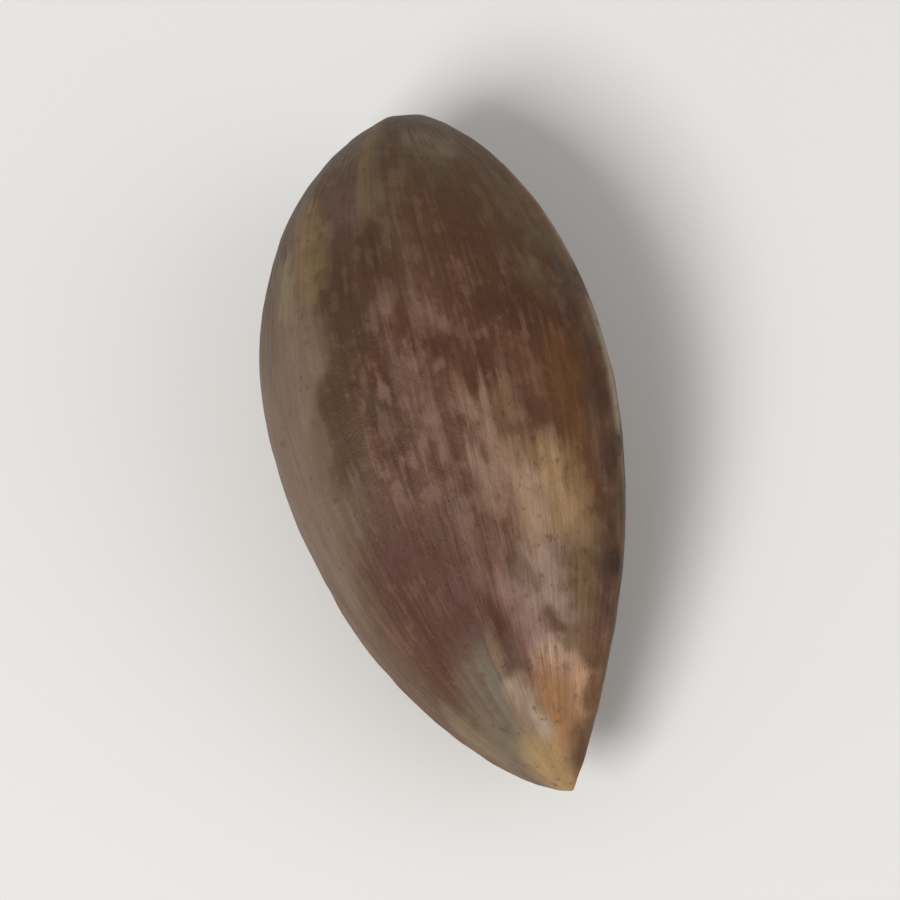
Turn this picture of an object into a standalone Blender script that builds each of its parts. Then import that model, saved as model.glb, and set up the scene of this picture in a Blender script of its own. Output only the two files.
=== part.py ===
"""A large pine nut in its shell, lying on its side.

The shell is one closed woody body. Its blunt base points to +Y and its tip to -Y, and it rests on
the small flat spot under its belly, on the plane z = 0. Two valves meet in a seam that runs all
round the nut as a low keel, and the upper valve has a shoulder ridge and a crown ridge of its own.
Lengths are in metres and angles in degrees. An angle round the nut is 0 on its right side (+X),
90 on top and 180 on its left side. A station is 0 at the base and 1 at the tip.
"""

import math
from typing import NamedTuple

import bmesh
import bpy

LENGTH = 0.0200
RIGHT_HALF_WIDTH = 0.00355  # from the straight line through base and tip
LEFT_HALF_WIDTH = 0.00595
CROWN_HEIGHT = 0.00430
BELLY_DEPTH = 0.00400
SPOT_DEPTH = 0.00012  # how much of the belly the flat spot takes off
TIP_DROP = 0.00110  # how far the tip hangs below the middle line of the nut


class Swell(NamedTuple):
    """How fast a side swells from the base and shrinks to the tip: an end under 1 is blunt."""

    from_base: float
    to_tip: float


RIGHT_SWELL = Swell(0.82, 1.04)
LEFT_SWELL = Swell(0.57, 0.74)
CROWN_SWELL = Swell(0.54, 0.74)
BELLY_SWELL = Swell(0.54, 0.78)


class Ridge(NamedTuple):
    """A low ridge along the shell.

    It stands proud by its height and slopes off over its reach. It lies at one angle, or drifts to
    another between two stations. It rises between the stations of fade_in and sinks between those
    of fade_out, so that one with neither runs from end to end.
    """

    angle: float
    height: float
    reach: float
    end_angle: float = None
    drift: tuple = (0.0, 1.0)
    fade_in: tuple = (-1.0, 0.0)
    fade_out: tuple = (1.0, 2.0)


SEAM_ANGLE = 24.0
SEAMS = (SEAM_ANGLE, SEAM_ANGLE + 180.0)
SEAM_BEADS = [Ridge(side, height=0.00010, reach=0.0006) for side in SEAMS]
SEAM_KEELS = [Ridge(side, height=0.00022, reach=0.0022) for side in SEAMS]
SHOULDER = Ridge(
    angle=134.0,
    height=0.00026,
    reach=0.0024,
    end_angle=149.0,
    drift=(0.45, 0.80),
    fade_in=(0.02, 0.18),
    fade_out=(0.75, 0.98),
)
CROWN_AT_BASE = Ridge(106.0, height=0.00010, reach=0.0011, fade_out=(0.08, 0.30))
CROWN_AT_TIP = Ridge(
    angle=96.0,
    height=0.00016,
    reach=0.0011,
    end_angle=102.0,
    drift=(0.70, 0.95),
    fade_in=(0.64, 0.84),
)
FLANK = Ridge(
    angle=88.0,
    height=0.00010,
    reach=0.0013,
    end_angle=66.0,
    drift=(0.42, 0.70),
    fade_in=(0.34, 0.50),
    fade_out=(0.68, 0.86),
)
LOWER_FLANK = Ridge(
    angle=326.0,
    height=0.00012,
    reach=0.0018,
    end_angle=312.0,
    drift=(0.20, 0.80),
    fade_in=(0.10, 0.40),
    fade_out=(0.62, 0.92),
)
RIDGES = (*SEAM_BEADS, *SEAM_KEELS, SHOULDER, CROWN_AT_BASE, CROWN_AT_TIP, FLANK, LOWER_FLANK)
CREST_ROUNDING = 0.00022
SLIM_RADIUS = 0.0022  # where the shell is slimmer than this, its ridges shrink with it
POLE_RADIUS = 1e-6  # nothing is raised at the very end of the nut, which is a point


class Lobe(NamedTuple):
    """A broad wave round the nut, which keeps it from being evenly round."""

    waves: int
    phase: float
    height: float


LOBES = (Lobe(2, 40.0, 0.00006), Lobe(3, 60.0, 0.00012), Lobe(5, 110.0, 0.00003))

COLUMNS = 90  # faces round the nut
RINGS = 38  # faces from base to tip

SHELL_BROWN = (0.145, 0.089, 0.062, 1.0)
SHELL_ROUGHNESS = 0.55
SHARP_EDGE = 40.0  # only the rim of the flat spot is as sharp as this


def smooth_step(low, high, value):
    """0 below low, 1 above high, and a smooth climb between them."""
    share = min(1.0, max(0.0, (value - low) / (high - low)))
    return share * share * (3.0 - 2.0 * share)


def swollen(station, swell):
    """The share of a side's greatest width at a station, which is 1 at the widest."""
    widest = swell.from_base / (swell.from_base + swell.to_tip)
    peak = widest**swell.from_base * (1.0 - widest) ** swell.to_tip
    return station**swell.from_base * (1.0 - station) ** swell.to_tip / peak


def section(station, angle):
    """How far the section's middle is to the left of the tip, its half width and its half height."""
    right = RIGHT_HALF_WIDTH * swollen(station, RIGHT_SWELL)
    left = LEFT_HALF_WIDTH * swollen(station, LEFT_SWELL)
    if math.sin(math.radians(angle)) >= 0:
        half_height = CROWN_HEIGHT * swollen(station, CROWN_SWELL)
    else:
        half_height = BELLY_DEPTH * swollen(station, BELLY_SWELL)
    return (left - right) / 2.0, (left + right) / 2.0, half_height


def place_on_nut(station, angle):
    """A point on the plain rounded shell, before its ridges."""
    bend, half_width, half_height = section(station, angle)
    x = half_width * math.cos(math.radians(angle)) - bend
    z = half_height * math.sin(math.radians(angle)) - TIP_DROP * station**2
    return x, LENGTH * (0.5 - station), z


def ridge_height(ridge, station, angle, radius):
    """How far one ridge raises the shell."""
    centre = ridge.angle
    if ridge.end_angle is not None:
        centre += (ridge.end_angle - ridge.angle) * smooth_step(*ridge.drift, station)
    shrink = radius / math.hypot(radius, SLIM_RADIUS)
    apart = math.radians((angle - centre + 180.0) % 360.0 - 180.0) * radius / shrink
    slope = (math.hypot(apart, CREST_ROUNDING) - CREST_ROUNDING) / ridge.reach
    along = smooth_step(*ridge.fade_in, station) * (1.0 - smooth_step(*ridge.fade_out, station))
    return shrink * ridge.height * along * (1.0 - min(1.0, slope)) ** 2


def relief(station, angle):
    """How far the ridges and lobes together raise the shell."""
    _, half_width, half_height = section(station, angle)
    turn = math.radians(angle)
    radius = math.hypot(half_width * math.sin(turn), half_height * math.cos(turn))
    if radius < POLE_RADIUS:
        return 0.0
    raised = sum(ridge_height(ridge, station, angle, radius) for ridge in RIDGES)
    middle = math.sin(math.pi * station)
    for lobe in LOBES:
        raised += lobe.height * middle * math.cos(lobe.waves * turn - math.radians(lobe.phase))
    return raised


def face_outward(shell):
    """Turns every face outward, given that all of them agree on one side."""
    if shell.calc_volume(signed=True) < 0:
        bmesh.ops.reverse_faces(shell, faces=shell.faces)
    shell.normal_update()


def swell_sphere(shell):
    """Turns a unit sphere with its poles on Z into the nut, base first, and raises its relief."""
    heights = {}
    for point in shell.verts:
        station = min(1.0, max(0.0, (1.0 - point.co.z) / 2.0))
        angle = math.degrees(math.atan2(point.co.y, point.co.x)) + SEAM_ANGLE
        heights[point] = relief(station, angle)
        point.co = place_on_nut(station, angle)
    face_outward(shell)
    for point, height in heights.items():
        point.co += point.normal * height


def cut_resting_spot(shell):
    """Takes a thin slice off the belly and closes it with one flat face."""
    lowest = min(point.co.z for point in shell.verts)
    everything = shell.verts[:] + shell.edges[:] + shell.faces[:]
    cut = bmesh.ops.bisect_plane(
        shell,
        geom=everything,
        plane_co=(0.0, 0.0, lowest + SPOT_DEPTH),
        plane_no=(0.0, 0.0, -1.0),
        clear_outer=True,
    )
    rim = [item for item in cut["geom_cut"] if isinstance(item, bmesh.types.BMEdge)]
    bmesh.ops.contextual_create(shell, geom=rim)
    bmesh.ops.recalc_face_normals(shell, faces=shell.faces)
    face_outward(shell)


def stand_on_origin(shell):
    """Moves the nut so that the middle of its box is over the origin and its spot is on z = 0."""
    spots = [point.co.copy() for point in shell.verts]
    shift_x = -(min(p.x for p in spots) + max(p.x for p in spots)) / 2.0
    shift_y = -(min(p.y for p in spots) + max(p.y for p in spots)) / 2.0
    shift_z = -min(p.z for p in spots)
    bmesh.ops.translate(shell, verts=shell.verts, vec=(shift_x, shift_y, shift_z))


def shell_material():
    """Satin brown, for dry wood with a thin papery skin."""
    material = bpy.data.materials.new("woody_shell")
    material.use_nodes = True
    surface = material.node_tree.nodes["Principled BSDF"]
    surface.inputs["Base Color"].default_value = SHELL_BROWN
    surface.inputs["Roughness"].default_value = SHELL_ROUGHNESS
    surface.inputs["Metallic"].default_value = 0.0
    material.diffuse_color = SHELL_BROWN
    return material


def make_nut():
    """The whole nut, as one closed mesh."""
    shell = bmesh.new()
    bmesh.ops.create_uvsphere(shell, u_segments=COLUMNS, v_segments=RINGS, radius=1.0)
    swell_sphere(shell)
    cut_resting_spot(shell)
    stand_on_origin(shell)
    mesh = bpy.data.meshes.new("pine_nut")
    shell.to_mesh(mesh)
    shell.free()
    mesh.materials.append(shell_material())
    mesh.shade_smooth()
    mesh.set_sharp_from_angle(angle=math.radians(SHARP_EDGE))
    nut = bpy.data.objects.new("pine_nut", mesh)
    bpy.context.scene.collection.objects.link(nut)
    return nut


def clear_scene():
    for leftover in list(bpy.data.objects):
        bpy.data.objects.remove(leftover)


def main():
    clear_scene()
    make_nut()


main()
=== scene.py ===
"""Pine Nut: one large pine nut in its shell, lying on its side in a small studio.

The shell is a lignified seed coat, dry and satin, under a thin dusty skin that is rubbed off along
its crests. Its form follows a rule: a station is 0 at the blunt base and 1 at the tip, and an angle
round the nut is 0 on its right side, 90 on top and 180 on its left side.
"""

import ast
import math
from typing import NamedTuple

import bpy
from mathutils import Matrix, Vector


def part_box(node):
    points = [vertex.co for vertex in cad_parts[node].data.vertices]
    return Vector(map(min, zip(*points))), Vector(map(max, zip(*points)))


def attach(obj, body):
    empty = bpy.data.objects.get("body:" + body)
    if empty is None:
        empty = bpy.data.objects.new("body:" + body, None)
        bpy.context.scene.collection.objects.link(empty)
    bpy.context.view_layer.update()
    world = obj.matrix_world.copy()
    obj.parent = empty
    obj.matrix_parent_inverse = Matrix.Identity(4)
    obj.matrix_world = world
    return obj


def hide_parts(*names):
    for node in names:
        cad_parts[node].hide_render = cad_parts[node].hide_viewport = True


bl_info = {
    "name": "Pine Nut",
    "version": (1, 0, 0),
    "blender": (4, 5, 0),
    "location": "View3D > Sidebar > Pine Nut",
    "description": "Makes a pine nut in its woody shell, with its surface and a small studio",
    "category": "Object",
}

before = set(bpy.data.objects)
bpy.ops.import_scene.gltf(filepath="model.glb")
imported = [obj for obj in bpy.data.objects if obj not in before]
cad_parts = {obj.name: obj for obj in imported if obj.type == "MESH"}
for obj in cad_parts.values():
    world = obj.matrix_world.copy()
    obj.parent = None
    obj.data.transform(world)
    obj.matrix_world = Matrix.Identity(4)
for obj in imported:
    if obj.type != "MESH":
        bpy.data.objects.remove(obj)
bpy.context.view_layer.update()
NUT_LOW, NUT_HIGH = (Vector(corner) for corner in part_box("pine_nut"))
NUT_LENGTH = NUT_HIGH.y - NUT_LOW.y
MM = 0.001


def linear(code):
    """An sRGB hex colour such as "#8A6A52", as the linear values that Blender works in."""
    shares = [int(code[place : place + 2], 16) / 255.0 for place in (1, 3, 5)]
    return tuple(s / 12.92 if s <= 0.04045 else ((s + 0.055) / 1.055) ** 2.4 for s in shares)


# The form of the shell


class Swell(NamedTuple):
    """How fast a side swells from the base and shrinks to the tip: an end under 1 is blunt."""

    from_base: float
    to_tip: float

    @property
    def peak(self):
        widest = self.from_base / (self.from_base + self.to_tip)
        return widest**self.from_base * (1.0 - widest) ** self.to_tip


SWELLS = {
    "right": Swell(0.82, 1.04),
    "left": Swell(0.57, 0.74),
    "crown": Swell(0.54, 0.74),
    "belly": Swell(0.54, 0.78),
    "girth": Swell(0.58, 0.78),
}


class Ridge(NamedTuple):
    """A low ridge along the shell, at one angle or drifting to another between two stations."""

    angle: float
    height: float
    reach: float
    end_angle: float = None
    drift: tuple = (0.0, 1.0)
    fade_in: tuple = (-1.0, 0.0)
    fade_out: tuple = (1.0, 2.0)
    rubbed: float = 1.0


SEAM_ANGLE = 24.0
SEAMS = (SEAM_ANGLE, SEAM_ANGLE + 180.0)
SHOULDER = Ridge(134.0, 0.26 * MM, 2.4 * MM, 149.0, (0.45, 0.80), (0.02, 0.18), (0.75, 0.98), 0.2)
RIDGES = (
    *(Ridge(side, 0.10 * MM, 0.6 * MM) for side in SEAMS),
    *(Ridge(side, 0.22 * MM, 2.2 * MM) for side in SEAMS),
    SHOULDER,
    Ridge(106.0, 0.10 * MM, 1.1 * MM, fade_out=(0.08, 0.30)),
    Ridge(96.0, 0.16 * MM, 1.1 * MM, 102.0, (0.70, 0.95), (0.64, 0.84)),
    Ridge(88.0, 0.10 * MM, 1.3 * MM, 66.0, (0.42, 0.70), (0.34, 0.50), (0.68, 0.86)),
    Ridge(326.0, 0.12 * MM, 1.8 * MM, 312.0, (0.20, 0.80), (0.10, 0.40), (0.62, 0.92)),
)


class Lobe(NamedTuple):
    """A broad wave round the nut, which keeps it from being evenly round."""

    waves: int
    phase: float
    height: float


LOBES = (Lobe(2, 40.0, 0.06 * MM), Lobe(3, 60.0, 0.12 * MM), Lobe(5, 110.0, 0.03 * MM))

PLACE = "nut_place"  # each point's cosine and sine of its angle, and its station
CREST = "nut_crest"  # 1 along the top of a ridge
GIRTH_RADIUS = 4.6 * MM  # turns an angle into a distance round the nut
FLAT_BELOW, FULL_ABOVE = 0.02 * MM, 0.6 * MM  # the fine relief fades out towards the resting spot


# The marks on the shell


class Mark(NamedTuple):
    """A soft stroke of colour from one station and angle to another, in millimetres of half width.

    Its grain says how far it breaks up into flecks that lie along the shell.
    """

    name: str
    start: tuple
    end: tuple
    half_width: float
    softness: float
    colour: str
    strength: float
    grain: float = 0.4


MARKS = (
    Mark("olive base", (0.05, 100.0), (0.20, 85.0), 2.4, 0.9, "base_olive", 0.75, 0.2),
    Mark("brown side of the base", (0.18, 46.0), (0.30, 42.0), 0.9, 0.8, "olive_brown", 0.75),
    Mark("red brown crown", (0.22, 82.0), (0.33, 70.0), 0.8, 0.85, "red_brown", 0.60),
    Mark("brown side of the crown", (0.21, 66.0), (0.28, 60.0), 0.6, 0.9, "red_brown", 0.50),
    Mark("plum patch", (0.15, 120.0), (0.22, 115.0), 0.6, 0.9, "plum_grey", 0.80, 0.3),
    Mark("plum shade", (0.24, 116.0), (0.36, 117.0), 0.7, 0.9, "plum_shade", 0.60, 0.3),
    Mark("dark flake of the crown", (0.25, 105.0), (0.33, 102.0), 0.38, 0.95, "dark_flake", 0.90, 0.3),
    Mark("dark flake of the middle", (0.49, 113.0), (0.52, 111.0), 0.35, 0.95, "dark_flake", 0.85, 0.3),
    Mark("green crown wedge", (0.08, 106.0), (0.20, 104.0), 0.34, 0.95, "green_grey", 0.80, 0.3),
    Mark("olive left edge", (0.10, 150.0), (0.32, 158.0), 0.9, 0.8, "edge_olive", 0.70, 0.3),
    Mark("pale edge of the streak", (0.24, 143.0), (0.30, 143.0), 0.35, 0.95, "stone_brown", 0.85, 0.3),
    # Painted shade: the crest's shade reaching into the band near the middle of the nut
    Mark("olive dip in the band", (0.48, 137.0), (0.54, 138.0), 0.35, 0.95, "band_olive", 0.80, 0.3),
    Mark("olive streak", (0.17, 133.0), (0.29, 128.0), 0.42, 0.95, "olive_yellow", 0.85, 0.3),
    Mark("grey flecks of the base", (0.08, 72.0), (0.11, 60.0), 0.45, 0.9, "base_grey", 0.75, 0.6),
    Mark("tan rim of the base", (0.17, 40.0), (0.27, 35.0), 0.4, 0.9, "rim_tan", 0.75, 0.5),
    Mark("grey rim of the side", (0.26, 28.0), (0.42, 26.0), 0.35, 0.9, "rim_grey", 0.80, 0.3),
    Mark("tan fleck of the side", (0.32, 46.0), (0.345, 44.0), 0.40, 0.95, "rim_tan", 0.75, 0.3),
    Mark("dark side", (0.39, 37.0), (0.50, 34.0), 0.5, 0.9, "dark_side", 0.90, 0.3),
    Mark("russet shoulder", (0.38, 50.0), (0.46, 38.0), 0.7, 0.85, "russet", 0.90, 0.3),
    Mark("dusty crown", (0.36, 95.0), (0.58, 100.0), 0.8, 0.9, "dust_pink", 0.40, 1.0),
    Mark("pale streak of the crown", (0.33, 92.0), (0.39, 89.0), 0.30, 0.95, "crown_pink", 0.25, 0.5),
    Mark("red brown middle", (0.415, 79.0), (0.48, 82.0), 0.42, 0.95, "red_brown", 0.65),
    Mark("amber top", (0.44, 63.0), (0.50, 57.0), 0.5, 0.9, "amber_brown", 0.75),
    Mark("amber flank", (0.44, 43.0), (0.66, 42.0), 0.7, 0.8, "amber", 0.85),
    Mark("tan lower flank", (0.68, 46.0), (0.78, 48.0), 0.6, 0.8, "flank_tan", 0.80),
    Mark("golden flank", (0.605, 58.0), (0.665, 56.0), 0.72, 0.95, "gold_tan", 1.0, 0.3),
    Mark("tan top of the flank", (0.50, 72.0), (0.56, 72.0), 0.38, 0.9, "flank_tan", 0.80, 0.5),
    Mark("rubbed streak", (0.51, 80.0), (0.59, 75.0), 0.30, 0.95, "streak_pink", 0.90, 0.5),
    Mark("pink fleck by the streak", (0.59, 84.0), (0.64, 81.0), 0.28, 0.9, "streak_pink", 0.90, 0.4),
    Mark("side streak", (0.57, 74.0), (0.66, 66.0), 0.34, 0.9, "streak_pink", 0.95, 0.5),
    Mark("pale rub", (0.62, 68.0), (0.72, 65.0), 0.42, 0.9, "pale_tan", 0.90, 0.4),
    Mark("dark edge of the rub", (0.70, 85.0), (0.75, 81.0), 0.25, 0.9, "red_brown", 0.50, 0.8),
    Mark("dusty middle", (0.64, 96.0), (0.72, 91.0), 0.6, 0.9, "dust_pink", 0.65, 0.6),
    Mark("pink patch", (0.76, 82.0), (0.81, 77.0), 0.50, 0.85, "patch_pink", 0.85),
    Mark("brown by the pink patch", (0.77, 94.0), (0.80, 91.0), 0.25, 0.95, "dark_russet", 0.60, 0.3),
    Mark("grey rub", (0.70, 60.0), (0.76, 62.0), 0.40, 0.9, "grey_pink", 0.90, 0.5),
    Mark("grey pink patch", (0.75, 70.0), (0.80, 62.0), 0.6, 0.8, "grey_pink", 0.95, 0.3),
    Mark("olive inner band", (0.58, 134.0), (0.70, 142.0), 0.5, 0.9, "band_olive", 0.75, 0.3),
    Mark("dark lower left", (0.70, 121.0), (0.80, 116.0), 1.3, 0.9, "dark_russet", 0.90, 0.2),
    Mark("olive lower edge", (0.76, 152.0), (0.95, 156.0), 0.5, 0.9, "edge_olive", 0.85),
    Mark("brown inner edge", (0.72, 146.0), (0.80, 150.0), 0.45, 0.9, "left_brown", 0.80, 0.2),
    Mark("warm lower left", (0.70, 120.0), (0.80, 124.0), 1.1, 0.9, "warm_brown", 0.85, 0.2),
    Mark("pale left edge", (0.66, 176.0), (0.86, 176.0), 0.6, 0.8, "left_brown", 0.80),
    Mark("stone edge of the tip", (0.89, 168.0), (0.94, 162.0), 0.45, 0.9, "stone_brown", 0.85, 0.3),
    Mark("stone grey facet", (0.855, 111.0), (0.95, 122.0), 0.75, 0.95, "stone_grey", 0.90, 0.3),
    Mark("tan edge above the tip", (0.825, 50.0), (0.835, 44.0), 0.30, 0.95, "flank_tan", 0.90, 0.3),
    Mark("brown edge of the tip", (0.84, 36.0), (0.86, 30.0), 0.35, 0.9, "tip_brown", 0.60, 0.3),
    Mark("golden edge of the tip", (0.875, 42.0), (0.905, 36.0), 0.42, 0.9, "tip_tan", 1.0, 0.3),
    Mark("brown lower edge of the tip", (0.885, 25.0), (0.93, 21.0), 0.26, 0.9, "amber", 1.0, 0.2),
    Mark("pale flecks", (0.845, 72.0), (0.848, 59.0), 0.38, 0.95, "fleck_tan", 0.95, 0.6),
    Mark("brown middle of the tip", (0.885, 76.0), (0.90, 74.0), 0.20, 0.95, "tip_brown", 0.60, 0.2),
    Mark("dark notch", (0.80, 66.0), (0.815, 58.0), 0.24, 0.9, "notch_brown", 0.90, 0.3),
    Mark("brown gap in the rub", (0.735, 76.0), (0.75, 71.0), 0.22, 0.9, "notch_brown", 0.70, 0.3),
    Mark("orange facet", (0.885, 66.0), (0.94, 62.0), 0.55, 1.0, "orange_tan", 0.90, 0.3),
    Mark("worn tip", (0.96, 98.0), (1.0, 92.0), 0.6, 0.8, "tip_gold", 0.90, 0.2),
    Mark("crown line of the tip", (0.875, 95.0), (0.925, 89.0), 0.26, 1.0, "tip_line", 0.90, 0.3),
    # Painted shade: these two strokes darken the skin along the right side and under the tip, where shade
    # falls.
    Mark("dark right strip", (0.56, 20.0), (0.80, 14.0), 0.8, 0.8, "dark_strip", 0.90),
    Mark("shade under the tip", (0.86, 2.0), (0.97, 8.0), 0.5, 0.9, "dark_strip", 0.80),
    Mark("rubbed back", (0.35, 236.0), (0.60, 230.0), 1.2, 0.9, "amber", 0.75, 0.7),
    Mark("dusty back", (0.20, 214.0), (0.50, 206.0), 1.0, 0.9, "plum_grey", 0.60, 0.5),
    Mark("dusty underside", (0.30, 300.0), (0.62, 312.0), 1.6, 0.9, "dust_pink", 0.70, 0.8),
    Mark("golden underside", (0.62, 282.0), (0.80, 296.0), 0.9, 0.9, "gold_tan", 0.60, 0.9),
)

HANDED_ON = 0.000001  # how far a stroke moves the place that it hands on, in millimetres

LOCAL_COLOURS = {
    "base_olive": "#574530",
    "base_grey": "#7E6C57",
    "rim_grey": "#4A4234",
    "rim_tan": "#6C563A",
    "olive_brown": "#5A4020",
    "red_brown": "#512C18",
    "band_olive": "#5F4B38",
    "edge_olive": "#5A4833",
    "dark_flake": "#452C1C",
    "dark_side": "#45260F",
    "plum_grey": "#624840",
    "plum_shade": "#432B21",
    "green_grey": "#67583F",
    "olive_yellow": "#796543",
    "russet": "#4C290E",
    "crown_pink": "#7C6050",
    "dust_pink": "#795C4D",
    "amber_brown": "#6A4228",
    "amber": "#663F18",
    "flank_tan": "#7C6144",
    "gold_tan": "#A7855F",
    "streak_pink": "#90725E",
    "pale_tan": "#B2937A",
    "patch_pink": "#9A776E",
    "grey_pink": "#947B6D",
    "dark_russet": "#4B2417",
    "left_brown": "#5F452F",
    "warm_brown": "#4A230D",
    "stone_brown": "#7A6A50",
    "stone_grey": "#6B6151",
    "tip_tan": "#BB9070",
    "fleck_tan": "#B3917A",
    "notch_brown": "#593B26",
    "orange_tan": "#A57850",
    "tip_brown": "#684930",
    "tip_line": "#A8927D",
    "tip_gold": "#A6875B",
    # Painted highlight on the right seam
    "seam_highlight": "#A29282",
    # Painted shade for the right side and the underside of the tip
    "dark_strip": "#2F1F12",
}


# The studio


class SoftLight(NamedTuple):
    """A square light that shines on the nut from its place, in metres."""

    name: str
    size: float
    place: tuple


LIGHTS = (
    SoftLight("key", 0.18, (-0.24, -0.20, 0.36)),
    SoftLight("fill", 0.40, (0.32, -0.12, 0.32)),
)
SKY_COLOUR = (1.0, 0.99, 0.97, 1.0)
SKY_STRENGTH = 0.34
FLOOR_HALF_SIDE = 1.5
CAMERA_DISTANCE = 0.1388
CAMERA_LENS = 200.0  # millimetres, long, since the photo shows hardly any perspective
CAMERA_SENSOR = 36.0


# What the user can change


def sized(name, description, default):
    """A length that the user can change, in metres."""
    return bpy.props.FloatProperty(
        name=name, description=description, default=default, min=0.0, unit="LENGTH", precision=5
    )


def coloured(name, description, code):
    """A colour that the user can change."""
    return bpy.props.FloatVectorProperty(
        name=name, description=description, default=linear(code), subtype="COLOR", min=0.0, max=1.0
    )


class NutSizes(bpy.types.PropertyGroup):
    right_half_width: sized("Right half width", "From the line through base and tip", 3.55 * MM)
    left_half_width: sized("Left half width", "From the line through base and tip", 5.95 * MM)
    crown_height: sized("Crown height", "From the middle line to the top", 4.30 * MM)
    belly_depth: sized("Belly depth", "From the middle line to the underside", 4.00 * MM)
    tip_drop: sized("Tip drop", "How far the tip hangs below the middle line", 1.10 * MM)
    spot_depth: sized("Spot depth", "How much the flat resting spot takes off the belly", 0.12 * MM)
    crest_rounding: sized("Crest rounding", "How softly a ridge turns over its top", 0.22 * MM)
    slim_radius: sized("Slim radius", "Where the nut is slimmer, its ridges shrink with it", 2.2 * MM)
    fibre_width: sized("Fibre width", "From one lengthwise fibre to the next", 0.42 * MM)
    fibre_depth: sized("Fibre depth", "How deep the furrows between fibres are", 0.045 * MM)
    wrinkle_width: sized("Wrinkle width", "Width of the small uneven wrinkles", 0.55 * MM)
    wrinkle_depth: sized("Wrinkle depth", "Depth of the small uneven wrinkles", 0.08 * MM)
    dent_width: sized("Dent width", "Width of the shallow dents", 2.6 * MM)
    dent_depth: sized("Dent depth", "Depth of the shallow dents", 0.16 * MM)
    pit_width: sized("Pit width", "Width of the small pits", 0.30 * MM)
    pit_spacing: sized("Pit spacing", "From one pit to the next", 1.3 * MM)
    pit_depth: sized("Pit depth", "Depth of the small pits", 0.045 * MM)
    cells_across: bpy.props.IntProperty(
        name="Cells across", description="Mesh cells across each side", default=98, min=8, max=160
    )
    cells_along: bpy.props.IntProperty(
        name="Cells along", description="Mesh cells from end to end", default=188, min=8, max=320
    )
    seed: bpy.props.IntProperty(name="Seed", description="Another nut of the same kind", default=4)


class NutColours(bpy.types.PropertyGroup):
    shell_brown: coloured("Shell brown", "The lignified shell itself", "#603D2A")
    dark_brown: coloured("Dark brown", "Shell that still has its dark film", "#4A2C1A")
    dust: coloured("Dust", "The grey bloom of powder on the film", "#785A4B")
    rubbed_wood: coloured("Rubbed wood", "Crests and flecks rubbed bare", "#94704D")
    # Painted shade: this colour darkens the inner side of the shoulder's crest, where shade falls
    shade: coloured("Shade", "The olive shade along the shoulder's crest", "#47331A")
    band: coloured("Band", "The paler left side below the shoulder", "#735E4E")


class StudioSettings(bpy.types.PropertyGroup):
    floor: coloured("Floor", "The plain pale floor", "#ECEBE8")
    camera_azimuth: bpy.props.FloatProperty(
        name="Camera azimuth", default=math.radians(-13.0), subtype="ANGLE",
        description="How far the camera is turned from straight in front of the tip",
    )
    camera_elevation: bpy.props.FloatProperty(
        name="Camera elevation", default=math.radians(70.0), subtype="ANGLE",
        description="How steeply the camera looks down",
    )
    key_power: bpy.props.FloatProperty(
        name="Key light", description="Power of the large soft light", default=1.66, unit="POWER"
    )
    fill_power: bpy.props.FloatProperty(
        name="Fill light", description="Power of the weak light on the right", default=0.35, unit="POWER"
    )


# Nodes


def add_node(tree, kind, *feeds, **settings):
    """Adds a node with its settings, and feeds its inputs in their order, or by name from a dict.

    A feed is a value, a socket, a node, which stands for its first output, or None to leave one be.
    """
    node = tree.nodes.new(kind)
    for name, value in settings.items():
        setattr(node, name, value)
    pairs = zip([socket for socket in node.inputs if socket.enabled], feeds)
    if feeds and isinstance(feeds[0], dict):
        pairs = [(node.inputs[name], feed) for name, feed in feeds[0].items()]
    for socket, feed in pairs:
        if isinstance(feed, bpy.types.Node):
            feed = next(output for output in feed.outputs if output.enabled)
        if isinstance(feed, bpy.types.NodeSocket):
            tree.links.new(feed, socket)
        elif feed is not None:
            socket.default_value = feed
    return node


FORMULA_SIGNS = {
    ast.Add: "ADD",
    ast.Sub: "SUBTRACT",
    ast.Mult: "MULTIPLY",
    ast.Div: "DIVIDE",
    ast.Pow: "POWER",
}
FORMULA_CALLS = {
    "sin": ("ShaderNodeMath", {"operation": "SINE"}),
    "cos": ("ShaderNodeMath", {"operation": "COSINE"}),
    "sqrt": ("ShaderNodeMath", {"operation": "SQRT"}),
    "abs": ("ShaderNodeMath", {"operation": "ABSOLUTE"}),
    "min": ("ShaderNodeMath", {"operation": "MINIMUM"}),
    "max": ("ShaderNodeMath", {"operation": "MAXIMUM"}),
    "atan2": ("ShaderNodeMath", {"operation": "ARCTAN2"}),
    "wrap": ("ShaderNodeMath", {"operation": "WRAP"}),
    "smooth": ("ShaderNodeMapRange", {"interpolation_type": "SMOOTHSTEP"}),
    "ramp": ("ShaderNodeMapRange", {}),
    "point": ("ShaderNodeCombineXYZ", {}),
    "dot": ("ShaderNodeVectorMath", {"operation": "DOT_PRODUCT"}),
    "span": ("ShaderNodeVectorMath", {"operation": "LENGTH"}),
    "apart": ("ShaderNodeVectorMath", {"operation": "SUBTRACT"}),
    "joined": ("ShaderNodeVectorMath", {"operation": "ADD"}),
    "scaled": ("ShaderNodeVectorMath", {"operation": "SCALE"}),
    "times": ("ShaderNodeVectorMath", {"operation": "MULTIPLY"}),
    "over": ("ShaderNodeVectorMath", {"operation": "DIVIDE"}),
}


def add_formula(tree, text, **terms):
    """Adds the nodes that work out a formula, such as "a * sin(b)", and returns the last of them."""

    def grow(part):
        if isinstance(part, ast.Constant):
            return float(part.value)
        if isinstance(part, ast.Name):
            return terms[part.id]
        if isinstance(part, ast.BinOp):
            sign = FORMULA_SIGNS[type(part.op)]
            return add_node(tree, "ShaderNodeMath", grow(part.left), grow(part.right), operation=sign)
        kind, settings = FORMULA_CALLS[part.func.id]
        return add_node(tree, kind, *map(grow, part.args), **settings)

    return grow(ast.parse(text).body[0].value)


SOCKET_TYPES = {
    float: "NodeSocketFloat",
    int: "NodeSocketInt",
    Vector: "NodeSocketVector",
    type(None): "NodeSocketMaterial",
}


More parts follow.
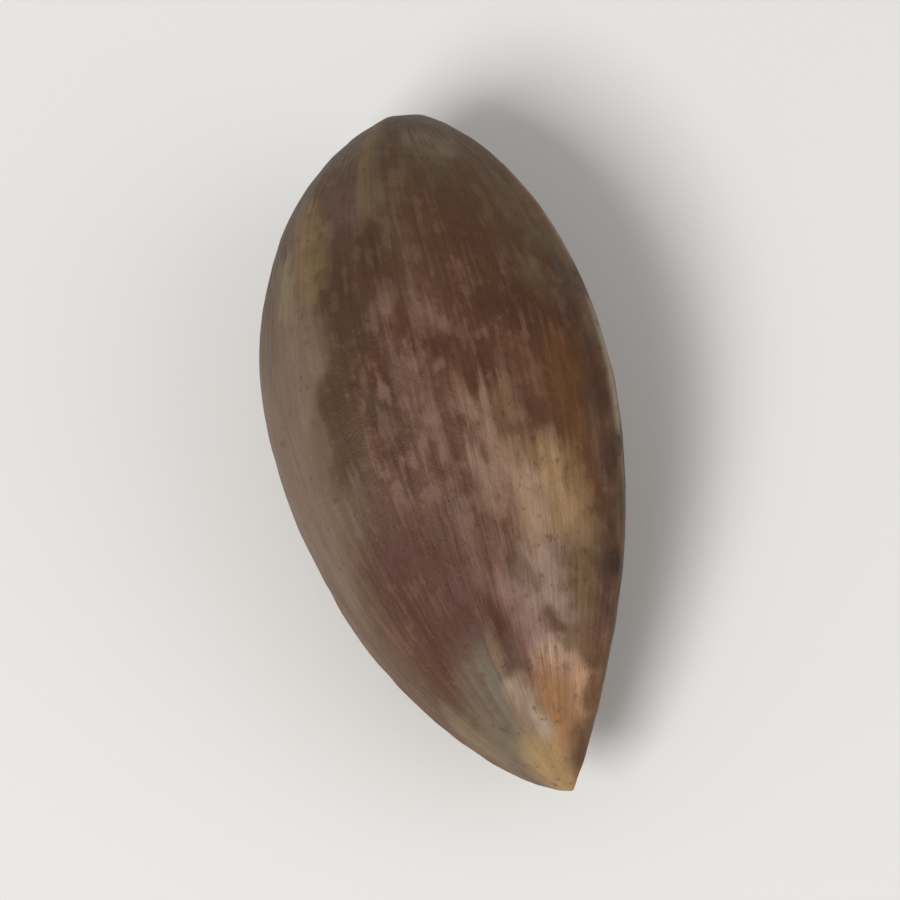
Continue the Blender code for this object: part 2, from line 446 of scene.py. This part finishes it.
def new_tree(kind, name, inputs, outputs):
    """A node group with named sockets: the tree, its inputs by name, and its output node."""
    tree = bpy.data.node_groups.new(name, kind)
    for socket_name, default in inputs.items():
        socket_type = SOCKET_TYPES[type(default)]
        item = tree.interface.new_socket(socket_name, in_out="INPUT", socket_type=socket_type)
        if default is not None:
            item.default_value = default
    for socket_name, socket_type in outputs.items():
        tree.interface.new_socket(socket_name, in_out="OUTPUT", socket_type=socket_type)
    entry = tree.nodes.new("NodeGroupInput")
    return tree, entry.outputs, tree.nodes.new("NodeGroupOutput")


def grown(tree, name, values):
    """The plain mesh object that a node tree makes from these values, at the origin."""
    piece = bpy.data.objects.new(name, bpy.data.meshes.new(name))
    bpy.context.scene.collection.objects.link(piece)
    modifier = piece.modifiers.new("shape", "NODES")
    modifier.node_group = tree
    for item in tree.interface.items_tree:
        if item.item_type == "SOCKET" and item.in_out == "INPUT":
            modifier[item.identifier] = values[item.name]
    graph = bpy.context.evaluated_depsgraph_get()
    mesh = bpy.data.meshes.new_from_object(
        piece.evaluated_get(graph), preserve_all_data_layers=True, depsgraph=graph
    )
    piece.modifiers.remove(modifier)
    piece.data = mesh
    mesh.name = name
    return piece


# The shell's shape


def patch_tree(kind):
    """A node group that gives soft patches of a width, longer than wide by their stretch."""
    inputs = {"Where": Vector(), "Width": 1.0, "Stretch": 1.0, "Detail": 2.0, "Seed": 0.0}
    outputs = {"Patches": "NodeSocketFloat", "Drift": "NodeSocketVector"}
    tree, given, result = new_tree(kind, "Shell Patches", inputs, outputs)
    where = add_formula(
        tree,
        "scaled(times(where, point(1, 1 / stretch, 1)), 1 / width)",
        where=given["Where"],
        stretch=given["Stretch"],
        width=given["Width"],
    )
    noise = add_node(
        tree,
        "ShaderNodeTexNoise",
        {"Vector": where, "W": given["Seed"], "Scale": 1.0, "Detail": given["Detail"]},
        noise_dimensions="4D",
    )
    for socket, feed in zip(result.inputs, noise.outputs):
        tree.links.new(feed, socket)
    return tree


def add_patterns(tree, patterns):
    """Adds one group of soft patches for each pattern's where, width, stretch, detail and seed."""
    names = ("Where", "Width", "Stretch", "Detail", "Seed")
    patches = patch_tree(tree.bl_idname)
    kind = tree.bl_idname.replace("Tree", "Group")
    return {
        name: add_node(tree, kind, dict(zip(names, values)), node_tree=patches)
        for name, values in patterns.items()
    }


def add_unbent(tree, place, girth, length):
    """Adds where the shell's points would lie if the nut were a straight tube of one girth."""
    cosine, sine, station = place
    return add_formula(
        tree,
        "point(c * girth, 0 - t * length, s * girth)",
        c=cosine,
        s=sine,
        t=station,
        girth=girth,
        length=length,
    )


def ridge_tree():
    """A node group that gives one ridge's height over the shell, and how near its crest is."""
    names = (
        "Station", "Angle", "Girth", "Shrink", "Start Angle", "End Angle", "Drift From", "Drift To",
        "Rise From", "Rise To", "Sink From", "Sink To", "Height", "Reach", "Rounding",
    )
    outputs = {"Height": "NodeSocketFloat", "Crest": "NodeSocketFloat"}
    inputs = dict.fromkeys(names, 0.0)
    tree, given, result = new_tree("GeometryNodeTree", "Shell Ridge", inputs, outputs)
    centre = add_formula(
        tree,
        "start + (end - start) * smooth(station, drift_from, drift_to)",
        start=given["Start Angle"],
        end=given["End Angle"],
        station=given["Station"],
        drift_from=given["Drift From"],
        drift_to=given["Drift To"],
    )
    slope = add_formula(
        tree,
        "(sqrt((wrap(angle - centre, pi, 0 - pi) * girth) ** 2 + rounding ** 2) - rounding) / reach",
        angle=given["Angle"],
        centre=centre,
        pi=math.pi,
        girth=given["Girth"],
        rounding=given["Rounding"],
        reach=given["Reach"],
    )
    crest = add_formula(
        tree,
        "smooth(station, rise_from, rise_to) * (1 - smooth(station, sink_from, sink_to))"
        " * (1 - min(1, slope)) ** 2",
        station=given["Station"],
        rise_from=given["Rise From"],
        rise_to=given["Rise To"],
        sink_from=given["Sink From"],
        sink_to=given["Sink To"],
        slope=slope,
    )
    height = add_formula(
        tree, "crest * shrink * height", crest=crest, shrink=given["Shrink"], height=given["Height"]
    )
    for socket, feed in zip(result.inputs, (height, crest)):
        tree.links.new(feed.outputs[0], socket)
    return tree


def swollen(tree, station, greatest, swell):
    """How far one side stands out at a station, from how far it does at its widest."""
    return add_formula(
        tree,
        "greatest / peak * station ** base * (1 - station) ** tip",
        greatest=greatest,
        peak=swell.peak,
        station=station,
        base=swell.from_base,
        tip=swell.to_tip,
    )


def shell_tree():
    """The node tree that makes the shell: a ball of even cells, drawn out by the nut's rule."""
    lengths = (
        "Length", "Right Half Width", "Left Half Width", "Crown Height", "Belly Depth", "Tip Drop",
        "Spot Depth", "Crest Rounding", "Slim Radius", "Fibre Width", "Fibre Depth",
        "Wrinkle Width", "Wrinkle Depth", "Dent Width", "Dent Depth", "Pit Width", "Pit Spacing",
        "Pit Depth",
    )
    inputs = {"Cells Across": 8, "Cells Along": 8, **dict.fromkeys(lengths, 0.0), "Seed": 0.0}
    inputs.update({"Box Low": Vector(), "Box High": Vector(), "Material": None})
    outputs = {"Shell": "NodeSocketGeometry"}
    tree, given, result = new_tree("GeometryNodeTree", "Pine Nut Shell", inputs, outputs)

    across, along = given["Cells Across"], given["Cells Along"]
    cube = add_node(tree, "GeometryNodeMeshCube", (2.0, 2.0, 2.0), across, along, across)
    spot = add_node(tree, "GeometryNodeInputPosition")
    # The tangent evens out the cells of the cube before they are pushed onto the ball.
    evened = add_formula(tree, "scaled(spot, quarter)", spot=spot, quarter=math.pi / 4.0)
    evened = add_node(tree, "ShaderNodeVectorMath", evened, operation="TANGENT")
    ball = add_node(tree, "ShaderNodeVectorMath", evened, operation="NORMALIZE")
    on_ball = add_node(tree, "ShaderNodeSeparateXYZ", ball).outputs
    place = add_formula(
        tree,
        "point(x / sqrt(x ** 2 + z ** 2), z / sqrt(x ** 2 + z ** 2), (1 - y) / 2)",
        x=on_ball["X"],
        y=on_ball["Y"],
        z=on_ball["Z"],
    )
    shell = add_node(
        tree, "GeometryNodeStoreNamedAttribute", cube, None, PLACE, place,
        data_type="FLOAT_VECTOR", domain="POINT",
    )
    place = add_node(tree, "GeometryNodeInputNamedAttribute", PLACE, data_type="FLOAT_VECTOR")
    cosine, sine, station = add_node(tree, "ShaderNodeSeparateXYZ", place).outputs

    right = swollen(tree, station, given["Right Half Width"], SWELLS["right"])
    left = swollen(tree, station, given["Left Half Width"], SWELLS["left"])
    crown = swollen(tree, station, given["Crown Height"], SWELLS["crown"])
    belly = swollen(tree, station, given["Belly Depth"], SWELLS["belly"])
    half_width = add_formula(tree, "(left + right) / 2", left=left, right=right)
    half_height = add_formula(
        tree, "belly + (crown - belly) * smooth(s, 0 - 0.2, 0.2)", belly=belly, crown=crown, s=sine
    )
    body = add_formula(
        tree,
        "point(half_width * c - (left - right) / 2, length * (0.5 - t), half_height * s - drop * t ** 2)",
        half_width=half_width,
        half_height=half_height,
        left=left,
        right=right,
        length=given["Length"],
        drop=given["Tip Drop"],
        c=cosine,
        s=sine,
        t=station,
    )
    shell = add_node(tree, "GeometryNodeSetPosition", {"Geometry": shell, "Position": body})

    angle = add_formula(tree, "atan2(s, c)", s=sine, c=cosine)
    radius = add_formula(
        tree, "sqrt((w * s) ** 2 + (h * c) ** 2)", w=half_width, h=half_height, s=sine, c=cosine
    )
    girth = add_formula(tree, "sqrt(r ** 2 + slim ** 2)", r=radius, slim=given["Slim Radius"])
    shrink = add_formula(tree, "radius / girth", radius=radius, girth=girth)
    raised, crest = 0.0, 0.0
    group = ridge_tree()
    for ridge in RIDGES:
        end_angle = ridge.angle if ridge.end_angle is None else ridge.end_angle
        values = {
            "Station": station,
            "Angle": angle,
            "Girth": girth,
            "Shrink": shrink,
            "Start Angle": math.radians(ridge.angle),
            "End Angle": math.radians(end_angle),
            "Drift From": ridge.drift[0],
            "Drift To": ridge.drift[1],
            "Rise From": ridge.fade_in[0],
            "Rise To": ridge.fade_in[1],
            "Sink From": ridge.fade_out[0],
            "Sink To": ridge.fade_out[1],
            "Height": ridge.height,
            "Reach": ridge.reach,
            "Rounding": given["Crest Rounding"],
        }
        made = add_node(tree, "GeometryNodeGroup", values, node_tree=group).outputs
        raised = add_formula(tree, "total + height", total=raised, height=made["Height"])
        crest = add_formula(
            tree, "max(total, rubbed * crest)", total=crest, rubbed=ridge.rubbed, crest=made["Crest"]
        )
    for lobe in LOBES:
        raised = add_formula(
            tree,
            "raised + height * sin(pi * t) * cos(waves * angle - phase)",
            raised=raised,
            height=lobe.height,
            pi=math.pi,
            t=station,
            waves=float(lobe.waves),
            angle=angle,
            phase=math.radians(lobe.phase),
        )
    normal = add_node(tree, "GeometryNodeInputNormal")
    offset = add_formula(tree, "scaled(normal, raised)", normal=normal, raised=raised)
    shell = add_node(tree, "GeometryNodeSetPosition", {"Geometry": shell, "Offset": offset})

    box = add_node(tree, "GeometryNodeBoundBox", shell).outputs
    x, y, z = add_node(tree, "ShaderNodeSeparateXYZ", spot).outputs
    low_x, low_y, low_z = add_node(tree, "ShaderNodeSeparateXYZ", box["Min"]).outputs
    floor = add_formula(tree, "low + spot_depth", low=low_z, spot_depth=given["Spot Depth"])
    fitted = add_formula(
        tree,
        "joined(box_low, over(times(apart(point(x, y, max(z, floor)), low), apart(box_high, box_low)),"
        " apart(high, low)))",
        box_low=given["Box Low"],
        box_high=given["Box High"],
        x=x,
        y=y,
        z=z,
        floor=floor,
        low=add_formula(tree, "point(x, y, z)", x=low_x, y=low_y, z=floor),
        high=box["Max"],
    )
    shell = add_node(tree, "GeometryNodeSetPosition", {"Geometry": shell, "Position": fitted})

    shell = add_fine_relief(tree, given, shell, spot, normal, (cosine, sine, station))
    shell = add_node(
        tree, "GeometryNodeStoreNamedAttribute", shell, None, CREST, crest,
        data_type="FLOAT", domain="POINT",
    )
    shell = add_node(tree, "GeometryNodeSetShadeSmooth", shell)
    shell = add_node(tree, "GeometryNodeRealizeInstances", shell)
    shell = add_node(tree, "GeometryNodeSetMaterial", shell, None, given["Material"])
    tree.links.new(shell.outputs[0], result.inputs[0])
    return tree


def add_fine_relief(tree, given, shell, spot, normal, place):
    """Adds the nodes that raise fibres and wrinkles and press dents and pits into the shell.

    The resting spot stays flat.
    """
    station = place[2]
    unbent = add_unbent(tree, place, GIRTH_RADIUS, given["Length"])
    seed = given["Seed"]
    patterns = {
        "fibres": (unbent, given["Fibre Width"], 9.0, 3.0, seed),
        "wrinkles": (spot, given["Wrinkle Width"], 2.4, 1.5, add_formula(tree, "seed + 5", seed=seed)),
        "dents": (spot, given["Dent Width"], 1.6, 1.0, add_formula(tree, "seed + 9", seed=seed)),
    }
    cells = add_formula(tree, "scaled(spot, 1 / spacing)", spot=spot, spacing=given["Pit Spacing"])
    pit = add_node(tree, "ShaderNodeTexVoronoi", cells, 1.0)
    height = add_formula(
        tree,
        "fibre_depth * (fibres - 0.5) * ends + wrinkle_depth * (wrinkles - 0.5)"
        " + dent_depth * (dents - 0.5)"
        " - pit_depth * (1 - smooth(pit * spacing, pit_width / 8, pit_width / 2))",
        ends=add_formula(tree, "smooth(t, 0, 0.15) * (1 - smooth(t, 0.8, 1))", t=station),
        fibre_depth=given["Fibre Depth"],
        wrinkle_depth=given["Wrinkle Depth"],
        dent_depth=given["Dent Depth"],
        pit_depth=given["Pit Depth"],
        pit=pit,
        spacing=given["Pit Spacing"],
        pit_width=given["Pit Width"],
        **add_patterns(tree, patterns),
    )
    x, y, z = add_node(tree, "ShaderNodeSeparateXYZ", spot).outputs
    low = add_node(tree, "ShaderNodeSeparateXYZ", given["Box Low"]).outputs["Z"]
    offset = add_formula(
        tree,
        "scaled(normal, height * smooth(z - low, flat_below, full_above))",
        normal=normal,
        height=height,
        z=z,
        low=low,
        flat_below=FLAT_BELOW,
        full_above=FULL_ABOVE,
    )
    shell = add_node(tree, "GeometryNodeSetPosition", {"Geometry": shell, "Offset": offset})
    kept_up = add_formula(tree, "point(x, y, max(z, low))", x=x, y=y, z=z, low=low)
    return add_node(tree, "GeometryNodeSetPosition", {"Geometry": shell, "Position": kept_up})


# The shell's surface


def mark_tree():
    """A node group that gives the share of one soft stroke between two places on the shell.

    It hands the place on to the next stroke, moved by next to nothing of its share, so that the
    shader works out its many strokes one by one: it can hold only 255 values at a time.
    """
    inputs = dict.fromkeys(("Inner", "Outer", "Strength", "Grain", "Cover", "Gaps"), 0.0)
    inputs.update({"Place": Vector(), "Start": Vector(), "End": Vector()})
    outputs = {"Share": "NodeSocketFloat", "Place": "NodeSocketVector"}
    tree, given, result = new_tree("ShaderNodeTree", "Shell Mark", inputs, outputs)
    reach = add_formula(tree, "apart(b, a)", b=given["End"], a=given["Start"])
    offset = add_formula(tree, "apart(p, a)", p=given["Place"], a=given["Start"])
    mask = add_formula(
        tree,
        "1 - smooth(span(apart(offset, scaled(reach, ramp(dot(offset, reach) / dot(reach, reach))))),"
        " inner, outer)",
        offset=offset,
        reach=reach,
        inner=given["Inner"],
        outer=given["Outer"],
    )
    solid = add_formula(
        tree,
        "min(1, mask * cover) * strength",
        mask=mask,
        cover=given["Cover"],
        strength=given["Strength"],
    )
    share = add_formula(
        tree, "solid - solid * grain * gaps", solid=solid, grain=given["Grain"], gaps=given["Gaps"]
    )
    handed_on = add_formula(
        tree,
        "joined(place, point(tiny * share, 0, 0))",
        place=given["Place"],
        tiny=HANDED_ON,
        share=share,
    )
    for socket, feed in zip(result.inputs, (share, handed_on)):
        tree.links.new(feed.outputs[0], socket)
    return tree


def flat_place(station, angle):
    """Where a station and an angle lie on the shell unrolled from its top, in millimetres."""
    swell = SWELLS["girth"]
    share = station**swell.from_base * (1.0 - station) ** swell.to_tip / swell.peak
    across = math.radians(angle - 90.0) * share * GIRTH_RADIUS / MM
    return across, NUT_LENGTH / MM * station, 0.0


def add_layers(tree, colour, layers, terms):
    """Lays each layer's tint over a colour, by the formula for its share."""
    for formula, tint in layers:
        share = add_formula(tree, formula, **terms)
        colour = add_node(tree, "ShaderNodeMix", share, colour, (*tint, 1.0), data_type="RGBA")
    return colour


def add_film(tree, colours, terms):
    """Adds the dark film with its dust, the paler band to the left of the shoulder, and painted shade
    inside the shoulder's crest.
    """
    left_of_shoulder = add_formula(
        tree,
        "lean - (start + (end - start) * smooth(t, drift_from, drift_to))"
        " + 0.12 * (1 - smooth(t, 0.38, 0.46)) + 0.16 * (mottle - 0.5)",
        start=math.radians(SHOULDER.angle - 90.0),
        end=math.radians(SHOULDER.end_angle - 90.0),
        drift_from=SHOULDER.drift[0],
        drift_to=SHOULDER.drift[1],
        **terms,
    )
    layers = (
        # Where the film is thin, the shell shows in broad patches.
        ("smooth(0.5 * broad + 0.5 * mottle, 0.38, 0.60)", colours.shell_brown),
        # Powder lies in small patches, and in streaks along the fibres.
        ("smooth(blotch + 0.5 * (fibre - 0.5), 0.48, 0.64) * 0.60", colours.dust),
        ("smooth(streak + 0.3 * (speck - 0.5), 0.54, 0.68) * ends * 0.45", colours.dust),
        # The band, from the shoulder's crest down to the left seam
        (
            "smooth(a, 0 - 0.12, 0.04) * (1 - smooth(a, 0.75, 1.05)) * smooth(t, 0.2, 0.36)"
            " * (1 - smooth(t, 0.68, 0.82)) * (0.65 + 0.5 * blotch)",
            colours.band,
        ),
        # Painted shade along the inner side of the shoulder's crest, with an olive tint
        (
            "smooth(a, 0 - 0.38, 0 - 0.16) * (1 - smooth(a, 0 - 0.08, 0.04)) * smooth(t, 0.12, 0.3)"
            " * (1 - smooth(t, 0.52, 0.68)) * (0.5 + 0.5 * blotch)",
            colours.shade,
        ),
    )
    return add_layers(tree, (*colours.dark_brown, 1.0), layers, {"a": left_of_shoulder, **terms})


def add_strokes(tree, colour, terms):
    """Adds the marks on the shell unrolled in millimetres, with edges that noise breaks up."""
    unrolled = add_formula(
        tree,
        "point(local_girth * lean, length * t, 0)",
        local_girth=swollen(tree, terms["t"], GIRTH_RADIUS / MM, SWELLS["girth"]),
        length=NUT_LENGTH / MM,
        **terms,
    )
    # Patches pull the edges about, and fibres draw them out lengthwise over the nut's body.
    wobble = add_formula(
        tree,
        "joined(joined(times(apart(m, half), coarse), times(apart(b, half), fine)),"
        " point(0, body * (1.8 * (streak - 0.5) + 0.9 * (fibre - 0.5)), 0))",
        m=terms["mottle"].outputs["Drift"],
        b=terms["blotch"].outputs["Drift"],
        half=(0.5, 0.5, 0.5),
        coarse=(0.6, 1.0, 0.0),
        fine=(0.35, 0.35, 0.0),
        body=add_formula(tree, "smooth(t, 0, 0.12) * (1 - smooth(t, 0.60, 0.85))", **terms),
        **terms,
    )
    handed_on = add_formula(tree, "joined(u, w)", u=unrolled, w=wobble)
    cover = add_formula(tree, "0.2 + 0.8 * blotch + 0.5 * mottle + 0.3 * speck", **terms)
    gaps = add_formula(tree, "1 - smooth(0.6 * streak + 0.4 * blotch, 0.42, 0.56)", **terms)
    group = mark_tree()
    for mark in MARKS:
        values = {
            "Place": handed_on,
            "Start": flat_place(*mark.start),
            "End": flat_place(*mark.end),
            "Inner": mark.half_width * (1.0 - mark.softness),
            "Outer": mark.half_width * (1.0 + mark.softness),
            "Strength": mark.strength,
            "Grain": mark.grain,
            "Cover": cover,
            "Gaps": gaps,
        }
        stroke = add_node(tree, "ShaderNodeGroup", values, node_tree=group, label=mark.name)
        share, handed_on = stroke.outputs
        tint = (*linear(LOCAL_COLOURS[mark.colour]), 1.0)
        colour = add_node(tree, "ShaderNodeMix", share, colour, tint, data_type="RGBA")
    return colour


def add_wear(tree, colour, colours, terms):
    """Adds what lies over the marks: rubbed crests, the last dust, a painted highlight on the seam, and
    specks.
    """
    layers = (
        ("smooth(crest * (0.2 + 1.3 * mottle), 0.55, 0.95) * 0.30", colours.rubbed_wood),
        ("smooth(blotch + 0.5 * (fibre - 0.5), 0.54, 0.66) * 0.22", colours.dust),
        # Painted highlight along the seam on the right side, in broken patches where its bead catches the
        # light
        (
            "smooth(1 - abs(wrap(angle - seam, pi, 0 - pi)) / 0.06, 0, 1) * smooth(mottle, 0.38, 0.5)"
            " * (0.35 * smooth(t, 0.1, 0.2) + 0.45 * smooth(t, 0.34, 0.42)) * (1 - smooth(t, 0.5, 0.62))",
            linear(LOCAL_COLOURS["seam_highlight"]),
        ),
        ("smooth(speck + 0.5 * (mottle - 0.5), 0.64, 0.78) * 0.20", colours.rubbed_wood),
        ("(1 - smooth(speck + 0.4 * (blotch - 0.5), 0.28, 0.40)) * 0.45", colours.dark_brown),
    )
    angle = add_formula(tree, "atan2(s, c)", **terms)
    terms = {"angle": angle, "seam": math.radians(SEAM_ANGLE), "pi": math.pi, **terms}
    colour = add_layers(tree, colour, layers, terms)
    return add_formula(
        tree,
        "scaled(colour, (1 + 0.5 * (fibre - 0.5) * ends) * (0.90 + 0.20 * grain))",
        colour=colour,
        **terms,
    )


def shell_material(colours):
    """Dry pine-nut shell: a lignified seed coat under a dusty film.

    Wood-hard and close-grained, it gives the eye a satin brown with faint lengthwise fibres. Its
    film is darker and duller, greyed by a powder, and worn through to tan wood on the crests.
    """
    material = bpy.data.materials.new("dry_pine_nut_shell")
    material.use_nodes = True
    tree = material.node_tree
    surface = tree.nodes["Principled BSDF"]
    place = add_node(tree, "ShaderNodeAttribute", attribute_name=PLACE).outputs["Vector"]
    crest = add_node(tree, "ShaderNodeAttribute", attribute_name=CREST).outputs["Fac"]
    cosine, sine, station = add_node(tree, "ShaderNodeSeparateXYZ", place).outputs
    spot = add_node(tree, "ShaderNodeTexCoord").outputs["Object"]
    solid = add_formula(tree, "scaled(spot, per_mm)", spot=spot, per_mm=1.0 / MM)
    lean = add_formula(tree, "atan2(0 - c, s)", c=cosine, s=sine)
    unbent = add_unbent(tree, (cosine, sine, station), GIRTH_RADIUS / MM, NUT_LENGTH / MM)
    # Each pattern's width is in millimetres. The grain is twice as coarse as the real one, to show.
    patterns = {
        "broad": (solid, 3.0, 1.8, 2.0, 3.1),
        "mottle": (solid, 0.85, 1.5, 4.0, 7.7),
        "blotch": (solid, 0.55, 1.3, 5.0, 21.0),
        "speck": (solid, 0.20, 1.4, 3.0, 12.0),
        "grain": (solid, 0.07, 1.0, 2.0, 9.2),
        "fibre": (unbent, 0.16, 12.0, 3.0, 1.3),
        "streak": (unbent, 0.42, 8.0, 3.0, 16.4),
    }
    terms = add_patterns(tree, patterns)
    ends = add_formula(tree, "smooth(t, 0, 0.12) * (1 - smooth(t, 0.82, 1))", t=station)
    terms.update(c=cosine, s=sine, t=station, lean=lean, crest=crest, ends=ends)

    colour = add_film(tree, colours, terms)
    colour = add_strokes(tree, colour, terms)
    colour = add_wear(tree, colour, colours, terms)
    tree.links.new(colour.outputs[0], surface.inputs["Base Color"])
    roughness = add_formula(tree, "0.42 + 0.30 * blotch + 0.08 * (speck - 0.5)", **terms)
    tree.links.new(roughness.outputs[0], surface.inputs["Roughness"])
    uneven = add_formula(tree, "fibre * ends + 0.35 * grain + 0.6 * speck + 0.5 * blotch", **terms)
    relief = {"Strength": 0.8, "Distance": 0.06 * MM, "Height": uneven}
    bump = add_node(tree, "ShaderNodeBump", relief)
    tree.links.new(bump.outputs[0], surface.inputs["Normal"])
    surface.inputs["IOR"].default_value = 1.5
    surface.inputs["Metallic"].default_value = 0.0
    surface.inputs["Specular IOR Level"].default_value = 0.3
    return material


class NUT_OT_make_shell(bpy.types.Operator):
    """Make the pine nut's shell, with its surface"""

    bl_idname = "pine_nut.make_shell"
    bl_label = "Make Shell"

    def execute(self, context):
        sizes = context.scene.pine_nut_sizes
        titled = {
            name.replace("_", " ").title(): getattr(sizes, name)
            for name in NutSizes.__annotations__
        }
        titled["Seed"] = float(sizes.seed)
        titled.update({"Length": NUT_LENGTH, "Box Low": NUT_LOW, "Box High": NUT_HIGH})
        titled["Material"] = shell_material(context.scene.pine_nut_colours)
        shell = grown(shell_tree(), "pine_nut_shell", titled)
        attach(shell, "root")
        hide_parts("pine_nut")
        return {"FINISHED"}


class NUT_OT_make_studio(bpy.types.Operator):
    """Make the pale floor, the soft lights and the camera"""

    bl_idname = "pine_nut.make_studio"
    bl_label = "Make Studio"

    def execute(self, context):
        settings = context.scene.pine_nut_studio
        self.make_floor(context, settings)
        self.make_lights(context, settings)
        self.make_camera(context, settings)
        return {"FINISHED"}

    def make_floor(self, context, settings):
        half = FLOOR_HALF_SIDE
        mesh = bpy.data.meshes.new("floor")
        corners = [(-half, -half, 0.0), (half, -half, 0.0), (half, half, 0.0), (-half, half, 0.0)]
        mesh.from_pydata(corners, [], [(0, 1, 2, 3)])
        paper = bpy.data.materials.new("matt_paper")
        paper.use_nodes = True
        surface = paper.node_tree.nodes["Principled BSDF"]
        surface.inputs["Base Color"].default_value = (*settings.floor, 1.0)
        surface.inputs["Roughness"].default_value = 0.9
        surface.inputs["Specular IOR Level"].default_value = 0.2
        mesh.materials.append(paper)
        floor = bpy.data.objects.new("floor", mesh)
        context.scene.collection.objects.link(floor)

    def make_lights(self, context, settings):
        world = bpy.data.worlds.new("studio")
        world.use_nodes = True
        sky = world.node_tree.nodes["Background"]
        sky.inputs["Color"].default_value = SKY_COLOUR
        sky.inputs["Strength"].default_value = SKY_STRENGTH
        context.scene.world = world
        for light in LIGHTS:
            lamp = bpy.data.lights.new(light.name, "AREA")
            lamp.energy = getattr(settings, light.name + "_power")
            lamp.size = light.size
            stand = bpy.data.objects.new(light.name, lamp)
            stand.location = light.place
            stand.rotation_mode = "QUATERNION"
            stand.rotation_quaternion = (-Vector(light.place)).to_track_quat("-Z", "Y")
            context.scene.collection.objects.link(stand)

    def make_camera(self, context, settings):
        lens = bpy.data.cameras.new("camera")
        lens.lens = CAMERA_LENS
        lens.sensor_width = CAMERA_SENSOR
        lens.clip_start, lens.clip_end = 0.002, 10.0
        camera = bpy.data.objects.new("camera", lens)
        tilt, turn = settings.camera_elevation, settings.camera_azimuth
        level = math.cos(tilt)
        back = Vector((math.sin(turn) * level, -math.cos(turn) * level, math.sin(tilt)))
        aim = Vector((0.0, 0.0, (NUT_LOW.z + NUT_HIGH.z) / 2.0))
        camera.location = aim + back * CAMERA_DISTANCE
        camera.rotation_mode = "QUATERNION"
        camera.rotation_quaternion = (-back).to_track_quat("-Z", "Y")
        context.scene.collection.objects.link(camera)
        context.scene.camera = camera
        context.scene.view_settings.view_transform = "Standard"


class NUT_PT_panel(bpy.types.Panel):
    """Lists the nut's operators, with its sizes and colours"""

    bl_idname = "NUT_PT_panel"
    bl_label = "Pine Nut"
    bl_space_type = "VIEW_3D"
    bl_region_type = "UI"
    bl_category = "Pine Nut"

    def draw(self, context):
        for operator, group in PIECES.items():
            column = self.layout.column(align=True)
            column.operator(operator)
            for name in group:
                owner = getattr(context.scene, name)
                for field in type(owner).__annotations__:
                    column.prop(owner, field)


PIECES = {
    "pine_nut.make_shell": ("pine_nut_sizes", "pine_nut_colours"),
    "pine_nut.make_studio": ("pine_nut_studio",),
}
SETTINGS = {
    "pine_nut_sizes": NutSizes,
    "pine_nut_colours": NutColours,
    "pine_nut_studio": StudioSettings,
}
CLASSES = (*SETTINGS.values(), NUT_OT_make_shell, NUT_OT_make_studio, NUT_PT_panel)


def register():
    for made in CLASSES:
        bpy.utils.register_class(made)
    for name, group in SETTINGS.items():
        setattr(bpy.types.Scene, name, bpy.props.PointerProperty(type=group))


def unregister():
    for name in SETTINGS:
        delattr(bpy.types.Scene, name)
    for made in reversed(CLASSES):
        bpy.utils.unregister_class(made)


def main():
    register()
    bpy.ops.pine_nut.make_shell()
    bpy.ops.pine_nut.make_studio()


if __name__ == "__main__":
    main()
